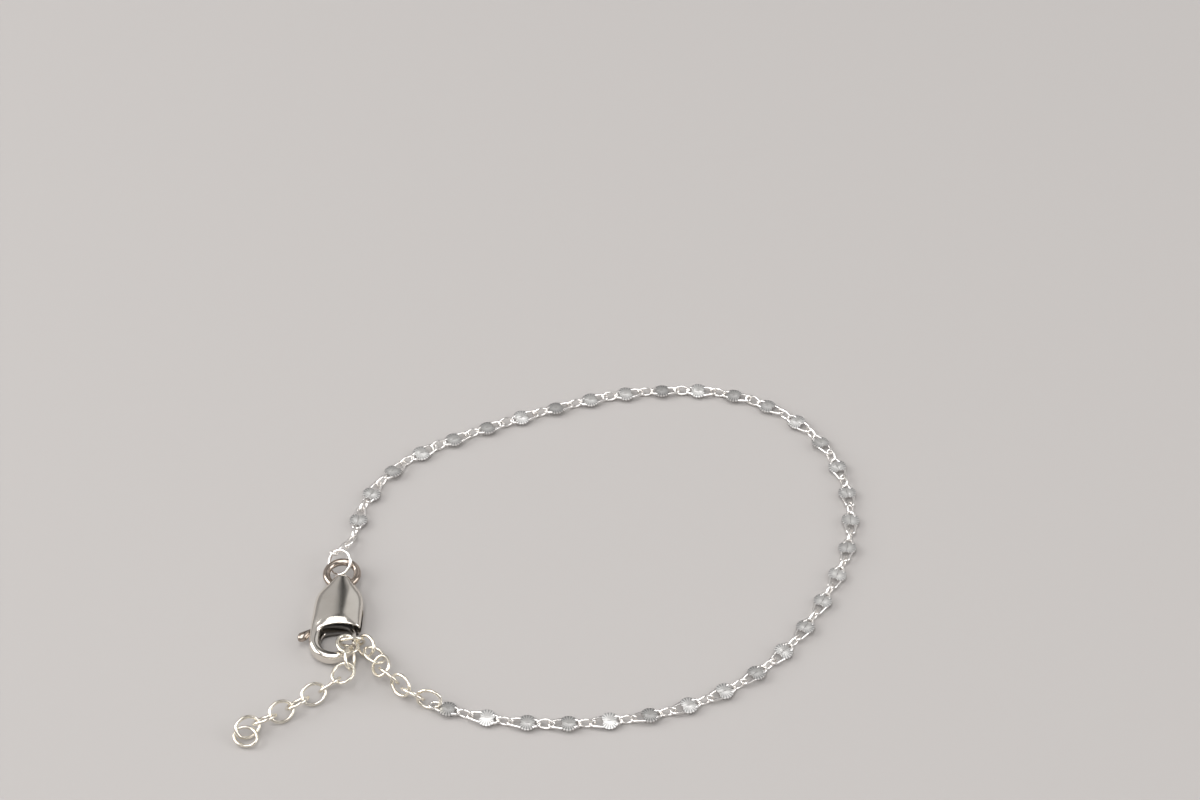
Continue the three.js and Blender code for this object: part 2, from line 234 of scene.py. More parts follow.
# %% Camera
LOOK_DOWN = 43.6  # degrees below the level
CAMERA_PLACE = (0.00442, -0.19251, 0.20683)
LENS = 78
SENSOR_WIDTH = 36
camera = bpy.data.objects.new("camera", bpy.data.cameras.new("camera"))
bpy.context.collection.objects.link(camera)
camera.location = CAMERA_PLACE
camera.rotation_euler = (math.radians(90 - LOOK_DOWN), 0, 0)
camera.data.lens = LENS
camera.data.sensor_width = SENSOR_WIDTH
bpy.context.scene.camera = camera
print("camera", [round(v, 4) for v in camera.location])

# %% [markdown]
# ## Floor
# A plain pale floor, very slightly warm and quite matt, lies a hair below the lowest link.

# %% Floor
FLOOR_SIZE = 3
FLOOR_DROP = 0.00002
FLOOR_COLOUR = (0.42, 0.4, 0.388, 1)
FLOOR_ROUGHNESS = 0.85
bpy.ops.mesh.primitive_plane_add(size=FLOOR_SIZE, location=(0, 0, -FLOOR_DROP))
floor = named("floor")
floor_paint = bpy.data.materials.new("pale_floor")
floor_paint.use_nodes = True
floor_shader = floor_paint.node_tree.nodes["Principled BSDF"]
floor_shader.inputs["Base Color"].default_value = FLOOR_COLOUR
floor_shader.inputs["Roughness"].default_value = FLOOR_ROUGHNESS
floor.data.materials.append(floor_paint)
print("floor", floor.dimensions[0], "m wide")

# %% [markdown]
# ## Light
# Polished silver shows what it reflects. Broad bright panels to the left, the right, the front and above
# put the white lines on the wires. The two panels at the back are dim: the clasp's top and the discs face
# up, so from this angle they mirror what stands there, and they should look grey.

# %% Light panels
PANELS = [
    # name, place, width, height, power
    ("left_panel", (-0.8, 0.05, 0.5), 0.7, 0.7, 7.0),
    ("top_panel", (-0.1, 0.0, 1.4), 1.1, 0.6, 7.0),
    ("right_panel", (0.8, -0.1, 0.45), 0.5, 0.6, 3.0),
    ("front_panel", (-0.15, -0.6, 0.9), 0.9, 0.5, 4.0),
    ("right_back_panel", (0.56, 0.75, 0.75), 0.9, 0.9, 0.8),
    ("left_back_panel", (-0.56, 0.75, 0.75), 0.9, 0.9, 0.4),
]
for name, place, width, height, power in PANELS:
    light = bpy.data.lights.new(name, "AREA")
    light.shape = "RECTANGLE"
    light.size = width
    light.size_y = height
    light.energy = power
    panel = bpy.data.objects.new(name, light)
    panel.location = place
    panel.rotation_euler = (-Vector(place)).to_track_quat("-Z", "Y").to_euler()
    bpy.context.collection.objects.link(panel)
print(len(PANELS), "panels")

# %% [markdown]
# The surround is an even grey, with one dark band from front to back over the bracelet. A studio would hang
# a strip of black card there: it puts the dark streak down the middle of the clasp. In the world's nodes,
# the direction's sideways share, made positive, runs through a colour ramp from the band to the grey.

# %% Surround
BAND_EDGES = (0.03, 0.16)  # sideways share of the direction where the band starts to fade, and ends
BAND_COLOUR = (0.06, 0.06, 0.06, 1)
SURROUND_COLOUR = (0.32, 0.31, 0.305, 1)
world = bpy.data.worlds.new("soft_surround")
world.use_nodes = True
sky_nodes = world.node_tree.nodes
connect_sky = world.node_tree.links.new
facing = sky_nodes.new("ShaderNodeTexCoord")
shares = sky_nodes.new("ShaderNodeSeparateXYZ")
connect_sky(facing.outputs["Generated"], shares.inputs["Vector"])
sideways = sky_nodes.new("ShaderNodeMath")
sideways.operation = "ABSOLUTE"
connect_sky(shares.outputs["X"], sideways.inputs[0])
sky = sky_nodes.new("ShaderNodeValToRGB")
for stop, edge, colour in zip(sky.color_ramp.elements, BAND_EDGES, (BAND_COLOUR, SURROUND_COLOUR)):
    stop.position = edge
    stop.color = colour
connect_sky(sideways.outputs["Value"], sky.inputs["Fac"])
connect_sky(sky.outputs["Color"], sky_nodes["Background"].inputs["Color"])
bpy.context.scene.world = world
bpy.context.scene.view_settings.view_transform = "Standard"
print("surround with a dark band")

# %% [markdown]
# ## Silver finishes
# All the metal is silver, yet it doesn't look alike. Drawn wire is bright, the pressed discs hold a grey
# film in their flutes, the extension chain has yellowed a little, the clasp is polished with fine rubbing
# marks, and its ring is browner, its colour also darkened as painted shade. The thumb tab wears the ring's
# brown, darker finish as painted shade, and the inside of the casting is rough, and painted dark as painted
# shade in the hollow. One function mixes them all: a slow noise shifts the colour from clean to filmed, a
# fine noise moves the roughness, and the same fine noise lifts a very low bump. The noises read Object
# coordinates, so the marks stay in the metal wherever the camera stands.

# %% Silver finishes
FILM_START, FILM_REACH = 0.35, 0.5  # noise value where the film begins, and from there to its full colour
FILM_DETAIL, GRAIN_DETAIL = 3, 4
BUMP_STRENGTH = 0.35


def silver(name, clean, filmed, film_size, film_share, gloss, grain_size, grain_lift):
    """Metal that drifts from clean to filmed over film_size mm, with a grain of grain_size mm."""
    paint = bpy.data.materials.new(name)
    paint.use_nodes = True
    nodes = paint.node_tree.nodes
    connect = paint.node_tree.links.new
    shader = nodes["Principled BSDF"]
    shader.inputs["Metallic"].default_value = 1
    place = nodes.new("ShaderNodeTexCoord")
    drift = nodes.new("ShaderNodeTexNoise")
    drift.inputs["Scale"].default_value = PER_METRE / film_size
    drift.inputs["Detail"].default_value = FILM_DETAIL
    connect(place.outputs["Object"], drift.inputs["Vector"])
    film = nodes.new("ShaderNodeValToRGB")
    film.color_ramp.elements[0].position = FILM_START
    film.color_ramp.elements[0].color = (*clean, 1)
    film.color_ramp.elements[1].position = min(1, FILM_START + FILM_REACH / film_share)
    film.color_ramp.elements[1].color = (*filmed, 1)
    connect(drift.outputs["Fac"], film.inputs["Fac"])
    connect(film.outputs["Color"], shader.inputs["Base Color"])
    grain = nodes.new("ShaderNodeTexNoise")
    grain.inputs["Scale"].default_value = PER_METRE / grain_size
    grain.inputs["Detail"].default_value = GRAIN_DETAIL
    connect(place.outputs["Object"], grain.inputs["Vector"])
    rough = nodes.new("ShaderNodeMapRange")
    rough.inputs["To Min"].default_value = gloss[0]
    rough.inputs["To Max"].default_value = gloss[1]
    connect(grain.outputs["Fac"], rough.inputs["Value"])
    connect(rough.outputs["Result"], shader.inputs["Roughness"])
    bump = nodes.new("ShaderNodeBump")
    bump.inputs["Strength"].default_value = BUMP_STRENGTH
    bump.inputs["Distance"].default_value = grain_lift / PER_METRE
    connect(grain.outputs["Fac"], bump.inputs["Height"])
    connect(bump.outputs["Normal"], shader.inputs["Normal"])
    return paint


FINISHES = [
    # name, clean colour, filmed colour, film's size, film's share, gloss range, grain's size, grain's lift
    ("bright_wire", (0.98, 0.96, 0.94), (0.88, 0.85, 0.81), 1.5, 0.6, (0.14, 0.30), 0.12, 0.005),
    ("warm_wire", (0.93, 0.89, 0.80), (0.74, 0.66, 0.52), 1.8, 0.7, (0.12, 0.30), 0.14, 0.006),
    ("clasp_polish", (0.86, 0.82, 0.76), (0.72, 0.67, 0.60), 3.0, 0.8, (0.10, 0.20), 0.20, 0.004),
    # The ring's finish: a brown tarnish, with its colours darkened further as painted shade. On the thumb
    # tab it is painted shade.
    ("tarnish_and_painted_shade", (0.58, 0.50, 0.44), (0.30, 0.25, 0.21), 1.2, 1.4, (0.12, 0.24), 0.16, 0.005),
    ("pressed_disc", (0.84, 0.83, 0.81), (0.74, 0.73, 0.71), 1.2, 0.8, (0.34, 0.44), 0.10, 0.004),
    # Dark finish for the hollow, the lower lip and the lever's inside: its colour is painted shade.
    ("painted_shade_dark", (0.16, 0.15, 0.14), (0.07, 0.065, 0.06), 0.8, 0.8, (0.50, 0.70), 0.20, 0.010),
]
finishes = [silver(*row) for row in FINISHES]
bright_wire, warm_wire, clasp_polish, tarnish_and_painted_shade, pressed_disc, painted_shade_dark = finishes
print(len(finishes), "finishes")

# %% [markdown]
# The flutes of a pressed disc hold a dark film that polishing can't reach. Each disc carries an attribute
# named groove, one at the bottom of a flute and nought on its ridge, and the disc's finish darkens by it.
# An attribute rides on the points, so the film stays in the flutes however the disc is turned.

# %% Film in the flutes
FILM_TINT = (0.42, 0.42, 0.43, 1)
connect_disc = pressed_disc.node_tree.links.new
disc_shader = pressed_disc.node_tree.nodes["Principled BSDF"]
disc_colour = disc_shader.inputs["Base Color"].links[0].from_socket
groove = pressed_disc.node_tree.nodes.new("ShaderNodeAttribute")
groove.attribute_name = "groove"
darken = pressed_disc.node_tree.nodes.new("ShaderNodeMixRGB")
darken.blend_type = "MULTIPLY"
darken.inputs["Color2"].default_value = FILM_TINT
connect_disc(groove.outputs["Fac"], darken.inputs["Fac"])
connect_disc(disc_colour, darken.inputs["Color1"])
connect_disc(darken.outputs["Color"], disc_shader.inputs["Base Color"])
print("groove film on", pressed_disc.name)

# %% [markdown]
# ## Plain wire links
# A chain link is a ring of round wire, pulled longer. A curve with a bevel could draw it, but a torus with
# its two halves pulled apart is quicker and keeps even faces. The pull is shared between three places, so
# that the ring turns into an oval without straight sides. Where the wire's ends are soldered, the joint is
# a very slightly fuller place on one long side.

# %% Wire link
CHAIN_WIRE = 0.28
CHAIN_SIDES, CHAIN_WIRE_SIDES = 32, 12
PULL_STARTS = [5.6, 28.1, 50.6]  # degrees round the ring, between two of its sections


def turn_from_side(spot, side, moved):
    """Degrees round the ring from its long side, for points already moved along X."""
    return math.degrees(math.atan2(side * spot.x - moved, abs(spot.y)))


def wire_link(name, length, width, wire, sides, wire_sides, joint):
    """Oval link along X, in millimetres, with its joint's size as a share of the wire's."""
    clear_bench()
    radius = (width - wire) / 2
    bpy.ops.mesh.primitive_torus_add(
        major_radius=radius,
        minor_radius=wire / 2,
        major_segments=sides,
        minor_segments=wire_sides,
    )
    link = named(name)
    half_step = math.pi * radius / sides
    edit()
    pick_points(lambda spot: abs(spot.x) < half_step and spot.y < 0)
    stretch(joint, joint, joint, (0, -radius, 0))
    pull = (length - width) / 2 / len(PULL_STARTS)
    for count, start in enumerate(PULL_STARTS):
        for side in (1, -1):
            pick_points(lambda spot: turn_from_side(spot, side, count * pull) > start)
            shift(side * pull, 0, 0)
    done()
    face_outwards()
    report(link)
    return link


LINKS = [
    # name, length, width, wire, sides of the ring, sides of the wire, size of the joint
    ("tie_pattern", 1.92, 1.15, CHAIN_WIRE, CHAIN_SIDES, CHAIN_WIRE_SIDES, 1.05),
    ("head_pattern", 2.3, 1.15, CHAIN_WIRE, CHAIN_SIDES, CHAIN_WIRE_SIDES, 1.05),
    ("extension_pattern", 2.85, 2.4, 0.35, 48, 14, 1.08),
]
tie_pattern, head_pattern, extension_pattern = [wire_link(*row) for row in LINKS]

# %% [markdown]
# ## The fluted disc
# Each disc is the flattened middle of a wire link, pressed between dies into a little sunburst: two half
# discs with a narrow slit between them. It starts here as a whole disc. A circle is extruded in rings
# towards its centre, one spoke in four is pushed down for the bottom of a flute, the spokes beside it half
# as far, and a subdivision rounds them.

# %% Disc plate
DISC_RADIUS = 0.98
DISC_THICKNESS = 0.2
FLUTES = 18
FLUTE_DEPTH = 0.018
DOME = 0.012  # rise from one ring of the disc to the next
RING_SHARES = [0.8, 0.56, 0.32, 0.14]
FLUTE_START = RING_SHARES[2] * DISC_RADIUS * 0.9  # just inside the third ring
SPOKES_PER_FLUTE = 4
SPOKES = FLUTES * SPOKES_PER_FLUTE
SPOKE_DEPTHS = [
    # spokes of a flute, how far they are pushed down
    ((2,), FLUTE_DEPTH),
    ((1, 3), FLUTE_DEPTH / 2),
]


def spoke_of(spot):
    return round(math.atan2(spot.y, spot.x) / (2 * math.pi) * SPOKES) % SPOKES_PER_FLUTE


clear_bench()
bpy.ops.mesh.primitive_circle_add(vertices=SPOKES, radius=DISC_RADIUS, fill_type="NOTHING")
plate = named("disc_plate")
edit()
bpy.ops.mesh.select_all(action="SELECT")
outer_share = 1
for share in RING_SHARES:
    extrude(0, 0, DOME)
    stretch(share / outer_share, share / outer_share, 1, (0, 0, 0))
    outer_share = share
extrude(0, 0, 0)
bpy.ops.mesh.merge(type="CENTER")
for numbers, drop in SPOKE_DEPTHS:
    pick_points(lambda spot: spoke_of(spot) in numbers and spot.xy.length > FLUTE_START)
    shift(0, 0, -drop)
done()
smooth(1)
report(plate)

# %% [markdown]
# Now the half disc is cut out of the plate with the bisect tool: once along the slit, and slantwise at both
# ends, where the wire runs out. A die leaves a plate of even thickness with a soft rim, which the Solidify
# and Bevel modifiers give. The Mirror modifier makes the other half, across the slit.

# %% Half disc
SLIT_HALF = 0.022
RIM_BEVEL = 0.035
RIM_ANGLE = math.radians(60)  # edges sharper than this are softened
CUTS = [
    # point on the cut, direction that is thrown away
    ((0, SLIT_HALF, 0), (0, -1, 0)),
    ((0.76, 0.4, 0), (0.95, -0.30, 0)),
    ((-0.84, 0.4, 0), (-0.92, -0.30, 0)),
]
edit()
for point, away in CUTS:
    bpy.ops.mesh.select_all(action="SELECT")
    bpy.ops.mesh.bisect(plane_co=point, plane_no=away, clear_outer=True, threshold=MERGE_REACH)
bpy.ops.mesh.select_all(action="SELECT")
shift(0, 0, DISC_THICKNESS / 2 - DOME)
bpy.ops.mesh.normals_make_consistent(inside=False)
done()
modify("SOLIDIFY", thickness=DISC_THICKNESS, offset=-1)
modify("BEVEL", width=RIM_BEVEL, segments=2, limit_method="ANGLE", angle_limit=RIM_ANGLE)
modify("MIRROR", use_axis=(False, True, False), use_mirror_merge=False)
face_outwards()
plate.data.materials.append(pressed_disc)
report(plate)

# %% [markdown]
# Before and behind the disc the wire is still round. The long loop in front runs out of the two half discs
# in a V and closes round the next small link; the short loop behind holds its own small link. Each is half
# a torus whose open ends are extruded back into the disc and flattened there, as the press leaves them.

# %% Disc loops
LOOP_RADIUS = 0.435
LEG_STEPS = (0.6, 0.4)  # shares of the spread over the two halves of a leg
FLATTENED = (1, 1.3, 0.55)  # the press widens the leg's end and thins it
ON_THE_CUT = 1e-4
LOOPS = [
    # name, middle of the bend, leg's reach back to the disc, leg's spread
    ("long_loop", 1.545, -0.98, 0.17),
    ("short_loop", -0.825, 0.33, 0.10),
]


def half_loop(name, middle, reach, spread):
    """Bent wire with two legs that reach back into the disc and spread apart."""
    outward = -math.copysign(1, reach)
    clear_bench()
    bpy.ops.mesh.primitive_torus_add(
        major_radius=LOOP_RADIUS,
        minor_radius=CHAIN_WIRE / 2,
        major_segments=CHAIN_SIDES,
        minor_segments=CHAIN_WIRE_SIDES,
    )
    loop = named(name)
    edit()
    pick_points(lambda spot: spot.x * outward < -ON_THE_CUT)
    bpy.ops.mesh.delete(type="VERT")
    for side in (1, -1):
        pick_points(lambda spot: abs(spot.x) < ON_THE_CUT and spot.y * side > 0)
        for share in LEG_STEPS:
            extrude(reach / 2, side * spread * share, 0)
        stretch(*FLATTENED, (reach, side * (LOOP_RADIUS + spread), 0))
        bpy.ops.mesh.edge_face_add()
    bpy.ops.mesh.select_all(action="SELECT")
    shift(middle, 0, 0)
    done()
    face_outwards()
    loop.data.materials.append(bright_wire)
    report(loop)
    return loop


loops = [half_loop(*row) for row in LOOPS]
clear_bench()
for piece in (*loops, plate):
    piece.select_set(True)
bpy.context.view_layer.objects.active = plate
bpy.ops.object.join()
disc_pattern = named("disc_pattern")
report(disc_pattern)

# %% [markdown]
# The film's attribute is worked out from each point's place: a wave round the disc with its crest at the
# bottom of each flute, narrowed by a power, and faded out towards the centre, where the flutes end.

# %% Groove attribute
FADE_START, FADE_LENGTH = 0.3, 0.5  # mm from the centre
FILM_NARROWING = 1.5
points = np.array([point.co for point in disc_pattern.data.vertices])
turn = np.arctan2(points[:, 1], points[:, 0])
away = np.hypot(points[:, 0], points[:, 1])
wave = (1 - np.cos(FLUTES * turn)) / 2
depth = wave**FILM_NARROWING * np.clip((away - FADE_START) / FADE_LENGTH, 0, 1)
film = disc_pattern.data.attributes.new("groove", "FLOAT", "POINT")
film.data.foreach_set("value", depth)
print("groove from", round(depth.min(), 2), "to", round(depth.max(), 2))

# %% [markdown]
# ## Lay the chain
# Now the patterns are copied. Every copy has a mesh of its own with its place in the mesh, because the
# object itself has to stay at the origin. A disc and its small link share one solid in the frame, so the
# two copies are joined into one piece that stands for that solid.

# %% Lay the chain
def copy_of(pattern, name, place):
    piece = bpy.data.objects.new(name, pattern.data.copy())
    piece.data.transform(place)
    bpy.context.collection.objects.link(piece)
    return piece


def stands_for(piece, node, body):
    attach(piece, body)
    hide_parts(node)


tie_pattern.data.materials.append(bright_wire)
head_pattern.data.materials.append(bright_wire)
extension_pattern.data.materials.append(warm_wire)
for node in disc_solids:
    disc_place, tie_place = disc_places(node)
    disc = copy_of(disc_pattern, "silver_" + node, disc_place)
    tie = copy_of(tie_pattern, "tie", tie_place)
    clear_bench()
    tie.select_set(True)
    disc.select_set(True)
    bpy.context.view_layer.objects.active = disc
    bpy.ops.object.join()
    stands_for(disc, node, "bracelet")
for node in head_solids:
    stands_for(copy_of(head_pattern, "silver_" + node, ring_place(node)), node, "bracelet")
for node in extension_solids:
    link = copy_of(extension_pattern, "silver_" + node, ring_place(node))
    stands_for(link, node, "bracelet")
print("laid", len(disc_solids) + len(head_solids) + len(extension_solids), "links")

# %% [markdown]
# ## Jump ring and clasp ring
# The jump ring is a plain ring of wire, cut and closed again, so a fine butt joint shows across the wire.
# One circle of points drawn in makes that groove. The clasp's own ring is heavier and browner, with
# painted shade darkening its colour further, and is soldered shut, so its joint is a little fuller instead.

# %% Rings
RING_WIRE_SIDES = 18


def round_ring(name, diameter, wire, sides, joint, finish, node, slot):
    ring = wire_link(name, diameter, diameter, wire, sides, RING_WIRE_SIDES, joint)
    ring.data.materials.append(finish)
    piece = copy_of(ring, "silver_" + node, ring_place(node))
    bpy.data.objects.remove(ring)
    stands_for(piece, node, "bracelet")


RINGS = [
    # name, diameter, wire, sides of the ring, size of the joint, finish, solid, slot
    ("jump_pattern", 3.0, 0.34, 96, 0.86, bright_wire, "jump_ring", "chain_silver"),
    ("ring_pattern", 4.1, 0.8, 64, 1.03, tarnish_and_painted_shade, "clasp_ring", "ring_silver"),
]
for row in RINGS:
    round_ring(*row)

# %% [markdown]
# ## The clasp's body
# The body is one casting: a domed pillow that runs on down its left side as the hook, round the foot and up
# to a point on the right. It is box modelled in the clasp's own frame, where the hook's foot is near the
# origin and the head points along Y. One matrix then turns it and takes the lever's pin to the place that
# the frame's record gives for the joint, so that the lever will swing about the right point.

# %% Clasp place
lever_joint = next(joint for joint in frame["record"]["behaviour"]["joints"] if joint["name"] == "lever")
CLASP_TURN = math.radians(-2)
PIVOT = Vector((1.3, 5.1, 0))  # the lever's pin in the clasp's own frame, mm
clasp_turn = Matrix.Rotation(CLASP_TURN, 4, "Z")
pin_place = PER_METRE * Vector((*lever_joint["pos_m"][:2], 0))
clasp_place = MILLIMETRES @ Matrix.Translation(pin_place) @ clasp_turn @ Matrix.Translation(-PIVOT)
print("clasp's foot in mm", in_millimetres(clasp_place.translation))

# %% [markdown]
# The pillow starts as a cube, cut into columns, rows and levels. The cuts give the corners that are then
# moved: the shoulders drop for the dome, the lower corners come in, the head narrows row by row, and the
# top's edge dips over the mouth. This cage is a little larger than the casting, because the smoothing that
# follows draws it in.

# %% Pillow
BODY_LOW, BODY_HIGH = 4.3, 11.5
BODY_HALF, BODY_TOP = 2.64, 2.53
ARM_INNER = 1.5
COLUMNS = [-ARM_INNER, 0, ARM_INNER]
ROWS = [4.85, 6.7, 8.3, 9.2, 10.3]
LEVELS = [0.3, 1.2]
SHOULDER_DROP, SHOULDER_SHARE = 0.72, 0.97  # the outer corners of the top
FOOT_SHARE = 0.86  # the outer corners on the table
CROWN_DROP = 0.12  # the corners between the middle and the shoulders
LIP_DROP = 0.3  # the top's edge over the mouth
ABOVE_LEVELS, ABOVE_SHOULDERS = 1.5, 2
SAME_PLACE = 0.01
HEAD = [
    # row, share of the width, drop of the crown
    (8.3, 0.98, 0.04),
    (9.2, 0.86, 0.12),
    (10.3, 0.57, 0.24),
    (BODY_HIGH, 0.34, 0.4),
]


def cut(point, normal):
    bpy.ops.mesh.select_all(action="SELECT")
    bpy.ops.mesh.bisect(plane_co=point, plane_no=normal, threshold=MERGE_REACH)


def near(a, b):
    return abs(a - b) < SAME_PLACE


clear_bench()
bpy.ops.mesh.primitive_cube_add(size=1, location=(0, (BODY_LOW + BODY_HIGH) / 2, BODY_TOP / 2))
bpy.ops.transform.resize(value=(2 * BODY_HALF, BODY_HIGH - BODY_LOW, BODY_TOP))
bpy.ops.object.transform_apply(location=True, rotation=True, scale=True)
casting = named("clasp_casting")
edit()
for x in COLUMNS:
    cut((x, 0, 0), (1, 0, 0))
for y in ROWS:
    cut((0, y, 0), (0, 1, 0))
for z in LEVELS:
    cut((0, 0, z), (0, 0, 1))
pick_points(lambda spot: near(abs(spot.x), BODY_HALF) and near(spot.z, BODY_TOP))
shift(0, 0, -SHOULDER_DROP)
stretch(SHOULDER_SHARE, 1, 1, (0, 0, 0))
pick_points(lambda spot: near(abs(spot.x), BODY_HALF) and near(spot.z, 0))
stretch(FOOT_SHARE, 1, 1, (0, 0, 0))
pick_points(lambda spot: near(abs(spot.x), ARM_INNER) and near(spot.z, BODY_TOP))
shift(0, 0, -CROWN_DROP)
for row, share, drop in HEAD:
    pick_points(lambda spot: near(spot.y, row))
    stretch(share, 1, 1, (0, 0, 0))
    pick_points(lambda spot: near(spot.y, row) and spot.z > ABOVE_LEVELS)
    shift(0, 0, -drop)
pick_points(lambda spot: near(spot.y, BODY_LOW) and spot.z > ABOVE_SHOULDERS)
shift(0, 0, -LIP_DROP)
done()
report(casting)

# %% [markdown]
# The pillow is hollow, because the lever and its spring live inside. Its mouth shows as a dark arch behind
# a bright rim. The mouth's faces are inset, which leaves the rim, and then pushed in. The faces of the
# hollow, and those low under the mouth, get a rough, dark finish: the dark is painted shade.

# %% Mouth
RIM = 0.24
MOUTH_DEPTH = 1.5
HOLLOW_HALF = 2.3  # the hollow's faces lie within this half width, these rows and these levels
HOLLOW_ROWS = (BODY_LOW + 0.3, 6)
HOLLOW_LEVELS = (0.35, 2.1)
UNDER_MOUTH = 0.6
FRONT_SHARE, LEAN_SHARE, UP_SHARE = 0.8, 0.5, 0.3  # shares of a normal that points this way


def faces_front(normal):
    return normal.y < -FRONT_SHARE


def in_hollow(spot, normal):
    in_rows = HOLLOW_ROWS[0] < spot.y < HOLLOW_ROWS[1]
    in_levels = HOLLOW_LEVELS[0] < spot.z < HOLLOW_LEVELS[1]
    looks_up = normal.z >= UP_SHARE
    return abs(spot.x) < HOLLOW_HALF and in_rows and in_levels and not looks_up


def under_mouth(spot, normal):
    leans_front = normal.y < -LEAN_SHARE
    return leans_front and spot.z < UNDER_MOUTH and spot.x > -ARM_INNER


edit()
pick_faces(lambda spot, normal: faces_front(normal) and spot.x > -ARM_INNER and spot.z > LEVELS[0])
bpy.ops.mesh.inset(thickness=RIM)
extrude(0, MOUTH_DEPTH, 0)
for finish in (clasp_polish, painted_shade_dark):
    casting.data.materials.append(finish)
# The hollow's faces and those low under the mouth get the dark finish, as painted shade.
casting.active_material_index = 1
for painted_shade_faces in (in_hollow, under_mouth):
    pick_faces(painted_shade_faces)
    bpy.ops.object.material_slot_assign()
done()
report(casting)

# %% [markdown]
# The hook is the arm's own end. The face at the foot of the pillow's left side is extruded until it is
# level with the hook's centre, then spun round it in nine steps. A real hook is filed thinner towards its
# tip, so each ring of points is resized about its own middle. The last points to move bring the mouth's
# arch down beside the arm. Then the cage is smoothed, and pillow, arm and hook become one surface.

# %% Hook
HOOK_CENTRE = Vector((0, 2.5, 1.0))
HOOK_START = 180
HOOK_SWEEP = 166
HOOK_STEPS = 9
SAME_TURN = 0.5  # degrees
HOOK_HIGH = 3  # the hook's rings all lie below this row
TIP_WIDTH, TIP_HEIGHT = 0.76, 0.6  # shares of the arm's size at the hook's tip
ARM_TOP = 1.86
ARM_UPPER, ARM_LOWER = 1.4, 0.1  # the arm's upper corners are above the one, its lower ones below the other
ARM_TUCK = (0.1, 0, 0.12)  # how its lower corners are drawn in
ARCH_DROP = 0.45  # how far the mouth's arch comes down beside the arm
ARCH_SPARE = 0.05


def around_hook(spot):
    """Angle of a point round the hook's centre, in degrees from the arm's start."""
    return (math.degrees(math.atan2(spot.y - HOOK_CENTRE.y, spot.x)) - HOOK_START) % 360


def on_arch(spot):
    left = -ARM_INNER - ARCH_SPARE
    right = -ARM_INNER + RIM + ARCH_SPARE
    return left < spot.x < right and near(spot.y, BODY_LOW)


edit()
pick_faces(lambda spot, normal: faces_front(normal) and spot.x < -ARM_INNER and near(spot.y, BODY_LOW))
extrude(0, HOOK_CENTRE.y - BODY_LOW, 0)
pick_points(lambda spot: near(spot.y, HOOK_CENTRE.y) and spot.z > ARM_UPPER)
stretch(1, 1, 0, (0, 0, ARM_TOP))
pick_points(lambda spot: near(spot.y, HOOK_CENTRE.y) and spot.z < ARM_LOWER)
shift(*ARM_TUCK)
pick_faces(lambda spot, normal: near(spot.y, HOOK_CENTRE.y) and faces_front(normal))
bpy.ops.mesh.spin(steps=HOOK_STEPS, angle=math.radians(-HOOK_SWEEP), center=HOOK_CENTRE, axis=(0, 0, 1))
arm_radius = BODY_HALF - (BODY_HALF - ARM_INNER) / 2
for step in range(1, HOOK_STEPS + 1):
    angle = HOOK_SWEEP * step / HOOK_STEPS
    turned = math.radians(HOOK_START + angle)
    ring_middle = HOOK_CENTRE + arm_radius * Vector((math.cos(turned), math.sin(turned), 0))
    pick_points(lambda spot: spot.y < HOOK_HIGH and abs(around_hook(spot) - angle) < SAME_TURN)
    width = 1 + (TIP_WIDTH - 1) * step / HOOK_STEPS
    height = 1 + (TIP_HEIGHT - 1) * step / HOOK_STEPS
    stretch(width, width, height, ring_middle)
pick_points(on_arch)
shift(0, -ARCH_DROP, 0)
done()
smooth(3)
face_outwards()
report(casting)
print("hook reaches y", round(min(point.co.y for point in casting.data.vertices), 2))

# %% [markdown]
# The lever turns in a slot through the body, and the ring lies in a round channel through the head. Both
# are cut by the Boolean modifier after the smoothing, with a saw blade and a fatter copy of the ring as the
# tools, so their edges stay crisp.

# %% Slot and ring channel
SLOT_LOW, SLOT_HIGH = (-3, 2.6, 0.64), (3, 7.0, 1.36)
RING_MIDDLE = (-0.129, 11.941, 1.365)
RING_RADIUS = 1.65
CHANNEL_RADIUS = 0.55
RING_LIFT, RING_HEADING = 4, 94.5  # degrees


def cut_away(tool):
    """Cuts the tool out of the casting and throws the tool away."""
    clear_bench()
    casting.select_set(True)
    bpy.context.view_layer.objects.active = casting
    modify("BOOLEAN", object=tool, operation="DIFFERENCE", solver="EXACT")
    bpy.data.objects.remove(tool)


slot_middle = [(low + high) / 2 for low, high in zip(SLOT_LOW, SLOT_HIGH)]
slot_size = [high - low for low, high in zip(SLOT_LOW, SLOT_HIGH)]
clear_bench()
bpy.ops.mesh.primitive_cube_add(size=1, location=slot_middle)
bpy.ops.transform.resize(value=slot_size)
cut_away(named("saw"))
bpy.ops.mesh.primitive_torus_add(
    major_radius=RING_RADIUS,
    minor_radius=CHANNEL_RADIUS,
    major_segments=64,
    minor_segments=24,
    location=RING_MIDDLE,
    rotation=(0, -math.radians(RING_LIFT), math.radians(RING_HEADING)),
)
cut_away(named("ring_cutter"))
bpy.ops.object.shade_smooth_by_angle(angle=CREASE_ANGLE)
report(casting)

# %% [markdown]
# ## The lever
# The lever is a flat plate on a pin: its thumb tab stands out on the left through the slot, and its gate
# closes the hook on the right. It starts as a cube at the pin. The left face is extruded out to the tab,
# and the lower face down to the gate, and each new end is resized as it is drawn. The gate is polished, the
# tab gets the ring's brown, darker finish as painted shade, and what lies inside the body gets the casting's
# rough, dark finish as painted shade.

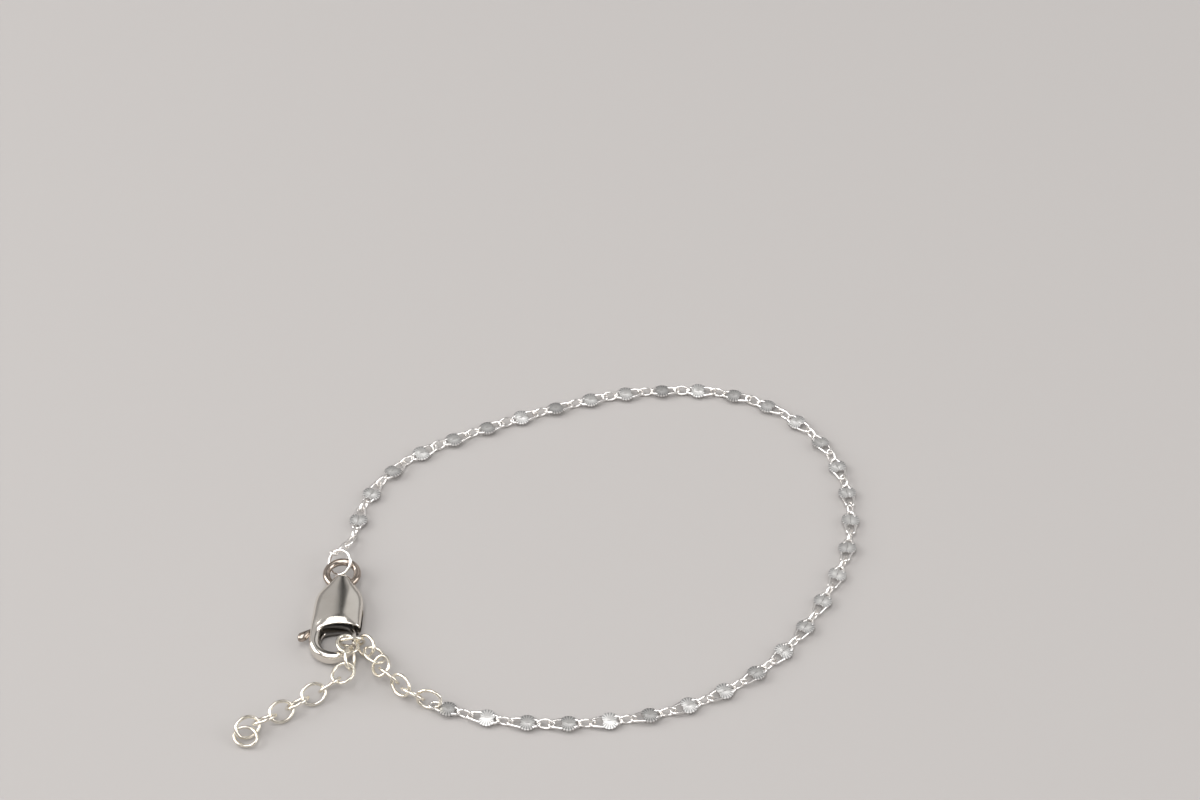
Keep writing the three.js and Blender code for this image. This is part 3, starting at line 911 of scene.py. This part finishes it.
# %% Lever
HUB_SIZE = (1.1, 1.0, 0.46)
LEVER_LEVEL = 1
TAB_STATIONS = [
    # x, y, width along y, height along z
    (-1.25, 5.12, 1.0, 0.46),
    (-2.45, 4.2, 0.8, 0.46),
    (-2.7, 3.8, 1.0, 0.6),
    (-2.95, 3.45, 1.28, 1.0),
    (-3.5, 3.2, 1.26, 1.0),
    (-3.9, 3.14, 0.9, 0.76),
]
GATE_STATIONS = [
    # x, y, width along x, height along z
    (1.72, 4.3, 0.62, 0.5),
    (1.98, 3.7, 0.58, 0.88),
    (2.1, 3.0, 0.58, 0.9),
    (2.14, 2.36, 0.56, 0.88),
    (2.14, 2.16, 0.4, 0.7),
]
SIDE_SHARE = 0.9  # share of a normal that faces a side
GATE_EDGE = 0.5  # the gate grows from the lower face to the right of this
TAB_EDGE = -2.5  # the tab is left of this
INSIDE_EDGE = 4.2  # above this, the lever is inside the body


def draw_out(start, stations, width_along_x):
    """Extrudes the picked face from its start through the stations, and resizes it at each."""
    old_x, old_y, old_width, old_height = start
    for x, y, width, height in stations:
        extrude(x - old_x, y - old_y, 0)
        wider = width / old_width
        across_x = wider if width_along_x else 1
        across_y = 1 if width_along_x else wider
        stretch(across_x, across_y, height / old_height, (x, y, LEVER_LEVEL))
        old_x, old_y, old_width, old_height = x, y, width, height


clear_bench()
bpy.ops.mesh.primitive_cube_add(size=1, location=(PIVOT.x, PIVOT.y, LEVER_LEVEL))
bpy.ops.transform.resize(value=HUB_SIZE)
bpy.ops.object.transform_apply(location=True, rotation=True, scale=True)
lever = named("silver_lever")
edit()
pick_faces(lambda spot, normal: normal.x < -SIDE_SHARE)
draw_out((PIVOT.x - HUB_SIZE[0] / 2, PIVOT.y, HUB_SIZE[1], HUB_SIZE[2]), TAB_STATIONS, False)
pick_faces(lambda spot, normal: normal.y < -SIDE_SHARE and spot.x > GATE_EDGE)
draw_out((PIVOT.x, PIVOT.y - HUB_SIZE[1] / 2, HUB_SIZE[0], HUB_SIZE[2]), GATE_STATIONS, True)
for finish in (clasp_polish, painted_shade_dark, tarnish_and_painted_shade):
    lever.data.materials.append(finish)
# The lever's faces inside the body get the dark finish, as painted shade.
lever.active_material_index = 1
pick_faces(lambda spot, normal: spot.x > TAB_EDGE and spot.y > INSIDE_EDGE)
bpy.ops.object.material_slot_assign()
# The thumb tab gets the ring's brown, darker finish, as painted shade.
lever.active_material_index = 2
pick_faces(lambda spot, normal: spot.x < TAB_EDGE)
bpy.ops.object.material_slot_assign()
done()
smooth(3)
face_outwards()
report(lever)

# %% [markdown]
# Casting and lever are brought from the bench to their place by the same matrix, so they still fit each
# other. The lever rides on the body that the joint turns. The printed boxes show how closely each piece
# keeps to its solid.

# %% Lay the clasp
for piece, node, body in ((casting, "clasp_body", "bracelet"), (lever, "clasp_lever", "lever")):
    piece.data.transform(clasp_place)
    stands_for(piece, node, body)
    low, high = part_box(node)
    spots = np.array([point.co for point in piece.data.vertices])
    print(node, "solid in mm", in_millimetres((*low, *high)))
    print(node, "piece in mm", in_millimetres((*spots.min(axis=0), *spots.max(axis=0))))

# %% [markdown]
# ## Finish
# The patterns have been copied and leave the bench.

# %% Finish
clear_bench()
for spare in (disc_pattern, tie_pattern, head_pattern, extension_pattern):
    bpy.data.objects.remove(spare)
